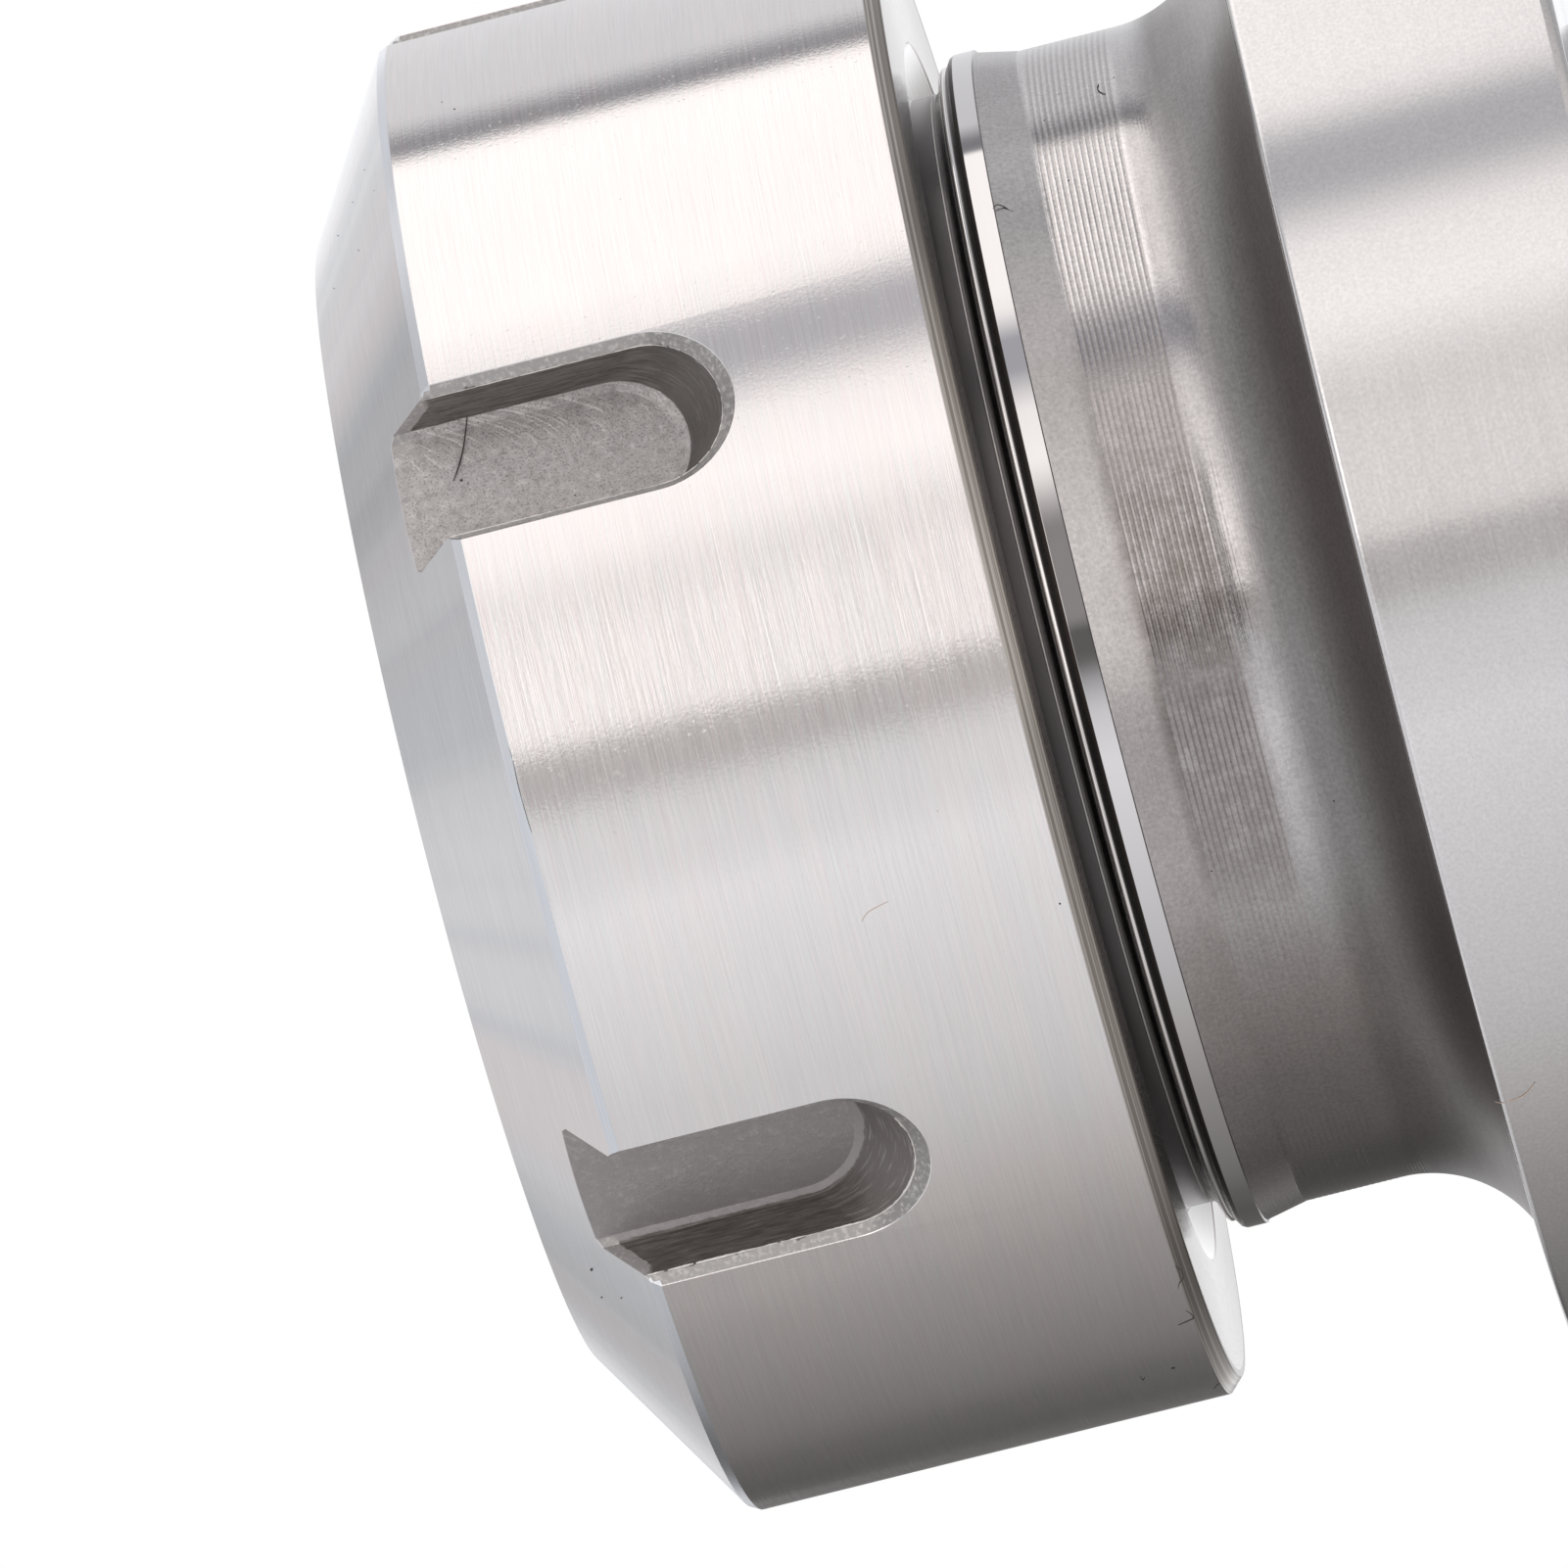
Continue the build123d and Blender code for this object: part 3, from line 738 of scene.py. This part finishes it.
def tube(points, radii):
    """Vertices and faces of a thin closed tube along points."""
    sides = 5
    vertices, faces = [], []
    for i, point in enumerate(points):
        before, after = points[max(i - 1, 0)], points[min(i + 1, len(points) - 1)]
        way = (Vector(after) - Vector(before)).normalized()
        side = way.orthogonal() if abs(way.z) > 0.9 else way.cross(Vector((0, 0, 1)))
        side.normalize()
        other = way.cross(side)
        for k in range(sides):
            a = TURN * k / sides
            vertices.append(tuple(Vector(point) + (side * math.cos(a) + other * math.sin(a)) * radii[i]))
    for i in range(len(points) - 1):
        for k in range(sides):
            n = (k + 1) % sides
            faces.append((i * sides + k, i * sides + n, (i + 1) * sides + n, (i + 1) * sides + k))
    faces.append(tuple(range(sides))[::-1])
    faces.append(tuple((len(points) - 1) * sides + k for k in range(sides)))
    return vertices, faces


# The slot with the plainer floor, counted as the burrs are, has the heavier burr
CALM_BURR = 3
# Top and step of the burrs' path, radii of a heavy, a light and the thinnest burr, and how often one breaks
BURR_TOP, BURR_STEP = 117.6, 0.12
BURR_HEAVY, BURR_LIGHT, BURR_THIN, BURR_BREAK = 0.23, 0.08, 0.012, 0.025


def rim_path():
    """Places (across, height) along a slot's rim: down one side, round the end and up the other."""
    path = []
    height = BURR_TOP
    while height > SLOT_RIM_CENTRE:
        path.append((-SLOT_HALF, height))
        height -= BURR_STEP
    angle = 180.0
    while angle < 360:
        a = math.radians(angle)
        path.append((SLOT_HALF * math.cos(a), SLOT_RIM_CENTRE + SLOT_HALF * math.sin(a)))
        angle += math.degrees(BURR_STEP / SLOT_HALF)
    height = SLOT_RIM_CENTRE
    while height < BURR_TOP:
        path.append((SLOT_HALF, height))
        height += BURR_STEP
    return path


def slot_burrs():
    """Fine broken burr along the inner edge of every slot's rim, but for one side of the calm slot."""
    draw = random.Random(7)
    parts = []
    for index in range(SLOT_COUNT):
        heavy = index == CALM_BURR
        thick = BURR_HEAVY if heavy else BURR_LIGHT
        run, radii, level = [], [], 0.5
        for across, height in rim_path():
            level = 0.8 * level + 0.2 * draw.random()
            if draw.random() < BURR_BREAK and len(run) > 3:
                parts.append(marked(tube(run, radii), 0))
                run, radii = [], []
            wobble = (draw.random() - 0.5) * 0.03
            if heavy and across > 0.5 * SLOT_HALF:
                continue
            across *= 1 - 0.004 * draw.random()
            run.append(slot_point(index, SLOT_RIM + wobble * 0.4, across, height + wobble))
            radii.append(max(BURR_THIN, thick * (level - 0.25)))
        if len(run) > 3:
            parts.append(marked(tube(run, radii), 0))
    vertices, faces, marks = joined(*parts)
    piece = mesh_object("slot_burrs", vertices, faces, [BURR], marks, 80.0)
    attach(piece, "nut")


def cone_radius(height):
    return NUT_R - max(height - NUT_EDGE, 0.0) * CONE_SLOPE


def seen_point(radius, down, height):
    """Point by the angle in degrees that it lies below the near side in the photograph."""
    return tuple(bearing_of(down) * radius + Vector((0, 0, height)))


def fleck(radius, down, height, size, draw):
    """Vertices and faces of a low irregular crumb on the surface."""
    centre = Vector(seen_point(radius, down, height))
    out = Vector((centre.x, centre.y, 0)).normalized()
    side = Vector((0, 0, 1)).cross(out)
    count = 9
    vertices = []
    for lift, grow in ((-0.02, 1.0), (0.12 * size, 0.9)):
        for k in range(count):
            angle = TURN * k / count
            reach = size * grow * (0.6 + 0.6 * draw.random())
            vertices.append(tuple(centre + out * lift + side * reach * math.cos(angle)
                                  + Vector((0, 0, reach * math.sin(angle)))))
    vertices.append(tuple(centre + out * 0.3 * size))
    faces = [tuple(range(count))[::-1]]
    for k in range(count):
        n = (k + 1) % count
        faces.append((k, n, count + n, count + k))
        faces.append((count + k, count + n, 2 * count))
    return vertices, faces


def smooth_path(points):
    """Points of a smooth curve through the given ones."""
    parts = 6
    ends = [points[0]] + list(points) + [points[-1]]
    path = []
    for i in range(1, len(ends) - 2):
        a, b, c, d = (Vector(ends[i + k]) for k in (-1, 0, 1, 2))
        for k in range(parts):
            t = k / parts
            path.append(tuple(0.5 * (2 * b + (c - a) * t + (2 * a - 5 * b + 4 * c - d) * t * t
                                     + (3 * b - a - 3 * c + d) * t ** 3)))
    return path + [tuple(points[-1])]


def thread_of_dirt(places, thick):
    """A fibre or scratch through (radius, angle down, height) places, thin at its ends."""
    path = smooth_path([seen_point(*place) for place in places])
    last = len(path) - 1
    radii = [thick * (0.35 + 0.65 * math.sin(math.pi * i / last) ** 0.5) if 0 < i < last else thick * 0.3
             for i in range(last + 1)]
    return tube(path, radii)


def small_piece(name, parts, material, body):
    vertices, faces, marks = joined(*(marked(part, 0) for part in parts))
    piece = mesh_object(name, vertices, faces, [material], marks, 60.0)
    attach(piece, body)


def nut_marks():
    """The hair and crumbs in the upper slot, specks on the cone and the outside, scratches at the rear."""
    draw = random.Random(3)
    hair = thread_of_dirt(
        [(28.75, -32.0, 116.05), (28.45, -30.4, 116.33), (28.3, -28.9, 116.6), (28.22, -27.5, 116.93),
         (28.2, -26.3, 117.27)], 0.035)
    strokes = [
        [(52.9, 97.21), (53.6, 97.04), (54.7, 97.06), (55.2, 97.25), (55.95, 97.39)],
        [(59.2, 97.39), (60.6, 97.17), (61.0, 97.4), (61.3, 97.9)],
        [(78.6, 97.59), (77.3, 97.36), (76.9, 97.24)],
        [(69.1, 100.1), (70.2, 100.06), (69.6, 99.93)],
    ]
    scratches = [thread_of_dirt([(NUT_R, down, height) for down, height in stroke], 0.022)
                 for stroke in strokes]
    edge_scratch = [(NUT_R - 0.015, down, NUT_EDGE - 0.26 + wander)
                    for down, wander in ((-3.0, 0.02), (-1.8, 0.0), (-0.1, 0.03), (2.7, 0.0), (3.6, -0.05))]
    # Angle down, height and size of the specks on the outside and cone, in the slot, and outside again
    specks = [(cone_radius(height), down, height, size) for down, height, size in (
        (46.25, 120.13, 0.085), (50.15, 120.13, 0.045), (47.1, 119.19, 0.045), (-60.1, 114.33, 0.05),
        (-61.7, 114.82, 0.035), (17.9, 97.56, 0.05), (9.0, 101.3, 0.022), (-44.0, 108.2, 0.02))]
    specks += [(SLOT_FLOOR + 0.05, down, height, size) for down, height, size in (
        (-26.3, 116.94, 0.06), (-25.9, 116.7, 0.03), (-22.5, 112.6, 0.03))]
    specks += [(cone_radius(height), down, height, size) for down, height, size in (
        (-56.58, 120.99, 0.03), (-61.22, 119.45, 0.03), (-55.18, 118.17, 0.03), (-62.75, 120.49, 0.03),
        (-60.97, 118.6, 0.03), (-53.27, 119.41, 0.03), (69.2, 98.71, 0.09))]
    dark = [hair, thread_of_dirt(edge_scratch, 0.02)] + scratches + [fleck(*speck, draw) for speck in specks]
    small_piece("nut_dirt", dark, GRIME, "nut")
    fibre = thread_of_dirt([(NUT_R, 15.6, 105.35), (NUT_R, 15.0, 104.97), (NUT_R, 14.6, 104.11)], 0.018)
    small_piece("nut_fibre", [fibre], FIBRE, "nut")
    small_piece("nut_white_speck", [fleck(29.35, -27.6, 106.95, 0.07, draw)], BURR, "nut")


def chuck_marks():
    """Curled fibre and dots on the neck, a nick across the land's lower edge, a fibre on the collar."""
    draw = random.Random(5)
    curl = thread_of_dirt([(NECK_R + 0.03, down, height) for down, height in (
        (-64.0, 88.95), (-63.0, 89.03), (-62.0, 88.92), (-61.5, 88.73))], 0.022)
    nick = thread_of_dirt([(LAND_R, -46.0, 94.06), (LAND_R, -46.4, 93.86), (LAND_R - 0.15, -46.35, 93.62),
                           (LAND_R - 0.25, -45.9, 93.43), (LAND_R - 0.28, -45.65, 93.25)], 0.025)
    on_neck = NECK_R + 0.01
    dots = [(on_neck, -64.7, 88.3, 0.04), (on_neck, -64.1, 90.63, 0.03), (on_neck, -59.4, 91.39, 0.045),
            (on_neck, -48.6, 90.86, 0.045), (24.85, 19.9, 86.28, 0.05), (on_neck, 24.1, 91.76, 0.04),
            (on_neck, 14.0, 89.9, 0.03), (COLLAR_R, 38.6, 81.15, 0.03)]
    dark = [curl, nick] + [fleck(*dot, draw) for dot in dots]
    small_piece("chuck_dirt", dark, GRIME, "chuck")
    on_collar = COLLAR_R + 0.02
    fibre = thread_of_dirt([(33.5, 40.1, 82.92), (COLLAR_R - 0.05, 39.73, 82.58), (on_collar, 39.52, 81.86),
                            (on_collar, 39.18, 81.49), (on_collar, 38.65, 81.17)], 0.02)
    small_piece("chuck_fibre", [fibre], FIBRE, "chuck")


def dress_nodes():
    for node, material in (("clamping_nut", NUT), ("spring_collet", COLLET), ("stop_screw", STOP)):
        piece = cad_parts[node]
        for slot in piece.material_slots:
            slot.material = material


def camera():
    """The photograph's view: a long lens beside the part, with the picture rolled."""
    yaw, pitch, roll = -0.069126, 0.003658, 0.000754
    picture_roll = math.radians(14.03624)
    aside, distance, height = -0.0035, 693.0, 61.1229
    focal_length, sensor_width = 384.796, 36.0
    # Level axes: along the part to the shank, down in the picture, and away from the camera
    away, down, shankwards = -TOWARDS, -LEFTWARDS, Vector((0, 0, -1))
    forward = (shankwards * (math.sin(yaw) * math.cos(pitch)) + down * math.sin(pitch)
               + away * (math.cos(yaw) * math.cos(pitch)))
    level_right = shankwards * math.cos(yaw) - away * math.sin(yaw)
    level_down = forward.cross(level_right)
    right = level_right * math.cos(roll) + level_down * math.sin(roll)
    lower = level_down * math.cos(roll) - level_right * math.sin(roll)
    c, s = math.cos(picture_roll), math.sin(picture_roll)
    picture_right = right * c + lower * s
    picture_down = lower * c - right * s
    data = bpy.data.cameras.new("camera")
    data.lens, data.sensor_width = focal_length, sensor_width
    data.clip_start, data.clip_end = 0.01, 20.0
    viewer = bpy.data.objects.new("camera", data)
    bpy.context.scene.collection.objects.link(viewer)
    position = (TOWARDS * distance + down * aside + Vector((0, 0, height))) * MM
    turn = Matrix((picture_right, -picture_down, -forward)).transposed()
    viewer.matrix_world = Matrix.Translation(position) @ turn.to_4x4()
    bpy.context.scene.camera = viewer


# The light's strength for a full colour of the ramps below, whose tints hold at most 1
BRIGHTEST = 2.0
BLUE = (0.955, 0.955, 1.02)
WARM, COOL, SOFT = (1.0, 0.972, 0.955), (0.975, 0.98, 1.0), (1.0, 0.975, 0.96)
# Brightness round the part, level with it, by the angle from the camera towards the key light
RING = [
    (-180, 0.95, SOFT), (-176, 0.30, SOFT), (-171, 0.15, SOFT), (-162, 0.12, SOFT), (-150, 0.115, SOFT),
    (-138, 0.15, SOFT), (-128, 0.215, SOFT), (-113, 0.285, SOFT), (-97, 0.37, SOFT), (-88, 0.45, SOFT),
    (-80, 0.54, SOFT), (-66, 0.69, COOL), (-48, 0.84, COOL), (-22, 1.05, COOL), (-15, 0.92, COOL),
    (-6, 1.02, COOL), (-2.5, 0.70, SOFT), (0.5, 0.78, SOFT), (3.2, 0.72, SOFT), (5, 1.72, WARM),
    (20, 1.72, WARM), (28, 1.45, WARM), (47, 1.27, WARM), (55, 0.55, BLUE), (62, 0.55, BLUE),
    (68, 1.30, WARM), (73, 1.42, WARM), (111.5, 1.42, WARM), (112.6, 0.29, BLUE), (116, 0.30, BLUE),
    (122, 0.83, COOL), (160, 0.84, COOL),
]
# The floor's brightness as the metal sees it, by the same angle
LOW_RING = [
    (-180, 1.25, COOL), (-169, 1.2, COOL), (-160, 0.45, SOFT), (-129, 0.15, SOFT), (-82, 0.50, SOFT),
    (-58, 0.66, SOFT), (-16, 0.60, SOFT), (-3, 1.1, WARM), (16, 1.1, WARM), (41, 0.9, WARM), (58, 0.72, WARM),
    (90, 0.44, COOL), (106, 0.60, COOL), (125, 0.5, COOL), (155, 0.6, COOL), (169, 1.2, COOL),
    (180, 1.25, COOL),
]
# Brightness beyond the front end by height above the level, on the key light's side and on the other
KEY_SKY = [
    (0.118, 1.28, COOL), (0.24, 1.14, COOL), (0.33, 1.0, COOL), (0.41, 0.89, COOL), (0.46, 0.80, COOL),
    (0.51, 0.85, COOL), (0.65, 0.81, COOL), (0.70, 0.62, COOL), (0.75, 0.30, COOL), (0.79, 0.30, COOL),
    (0.825, 0.50, COOL), (0.85, 0.88, COOL), (1.0, 0.85, COOL),
]
FAR_SKY = [
    (0.118, 0.95, COOL), (0.24, 0.88, COOL), (0.41, 0.75, COOL), (0.51, 0.70, COOL), (0.65, 0.70, COOL),
    (0.75, 0.79, COOL), (0.82, 0.93, COOL), (0.87, 0.86, COOL), (1.0, 0.85, COOL),
]
# The camera's own dark spot among the lights: its angle, half width and softness in degrees, the height of
# its middle and how dark it is, and the distances from that height at which it is full and gone
CAMERA_ANGLE, CAMERA_HALF, CAMERA_SOFT, CAMERA_RISE, CAMERA_DARK = 11.0, 19.0, 8.0, 0.043, 0.80
CAMERA_CORE, CAMERA_REACH = 0.02, 0.085
WHITE = (1, 1, 1, 1)
# How far the floor is lifted to the background's white for the camera
FLOOR_GLOW = 0.45


def profile(n, place, stops, start=0.0, span=1.0):
    """Light by place, out of (place, brightness, tint) stops and as a part of the brightest."""
    return n.ramp(place, [((at - start) / span, tuple(level * t / BRIGHTEST for t in tint))
                          for at, level, tint in stops])


def place_round(n, vector):
    """A vector's parts to the camera and to the key light, and its angle between them as 0 to 1."""
    facing = n.vector("DOT_PRODUCT", vector, tuple(TOWARDS))
    keywards = n.vector("DOT_PRODUCT", vector, tuple(LEFTWARDS))
    place = n.plus(n.math("DIVIDE", n.math("ARCTAN2", keywards, facing), TURN), 0.5)
    return facing, keywards, place


def studio():
    scene = bpy.context.scene
    scene.view_settings.view_transform = "Standard"
    world = bpy.data.worlds.new("studio")
    scene.world = world
    world.use_nodes = True
    world.node_tree.nodes.clear()
    n = Nodes(world.node_tree)
    ray = n.add("ShaderNodeTexCoord").outputs["Generated"]
    facing, keywards, place = place_round(n, ray)
    upward = n.parts(ray)[2]

    ring = profile(n, place, RING, -180, 360)
    aside = n.math("ABSOLUTE", n.minus(place, 0.5 + CAMERA_ANGLE / 360))
    raised = n.math("ABSOLUTE", n.minus(upward, CAMERA_RISE))
    gone, full = (CAMERA_HALF + CAMERA_SOFT) / 360, (CAMERA_HALF - CAMERA_SOFT) / 360
    spot = n.times(n.span(aside, gone, full), n.span(raised, CAMERA_REACH, CAMERA_CORE))
    darkened = n.scaled(ring, n.minus(1.0, n.times(spot, CAMERA_DARK)))

    sky = n.mix(n.span(keywards, -0.03, 0.03), profile(n, upward, FAR_SKY), profile(n, upward, KEY_SKY))
    # Behind the part the sky comes down almost to the level, and at its sides it starts high up
    sky_start = n.span(facing, -0.95, -0.80, 0.07, 0.40)
    sky_full = n.span(facing, -0.95, -0.80, 0.16, 0.65)
    around = n.mix(n.span(upward, sky_start, sky_full), darkened, sky)
    path = n.add("ShaderNodeLightPath").outputs
    plain = n.math("MAXIMUM", path["Is Camera Ray"], path["Is Transmission Ray"])
    n.finish(n.mix_shader(plain, n.light("ShaderNodeBackground", around, BRIGHTEST),
                          n.light("ShaderNodeBackground", WHITE, 1.0)), "ShaderNodeOutputWorld")


def floor():
    material, n = new_material("floor")
    path = n.add("ShaderNodeLightPath").outputs
    surface = n.add("ShaderNodeBsdfDiffuse")
    surface.inputs["Color"].default_value = (0.86, 0.86, 0.86, 1)
    shown = n.mix_shader(n.times(path["Is Camera Ray"], FLOOR_GLOW), surface.outputs[0],
                         n.light("ShaderNodeEmission", WHITE, 1.0))
    _, _, place = place_round(n, n.add("ShaderNodeTexCoord").outputs["Object"])
    mirrored = n.light("ShaderNodeEmission", profile(n, place, LOW_RING, -180, 360), BRIGHTEST)
    n.finish(n.mix_shader(path["Is Glossy Ray"], shown, mirrored))
    reach, count, drop = 2.5, 64, 0.0002
    ring = [(reach * math.cos(TURN * k / count), reach * math.sin(TURN * k / count), 0) for k in range(count)]
    mesh = bpy.data.meshes.new("floor")
    mesh.from_pydata(ring, [], [tuple(range(count))])
    mesh.materials.append(material)
    ground = bpy.data.objects.new("floor", mesh)
    ground.location.z = -drop
    bpy.context.scene.collection.objects.link(ground)


camera()
studio()
floor()
dress_nodes()
chuck_body()
nut_thread()
stop_thread()
slot_burrs()
nut_marks()
chuck_marks()

bpy.context.view_layer.update()
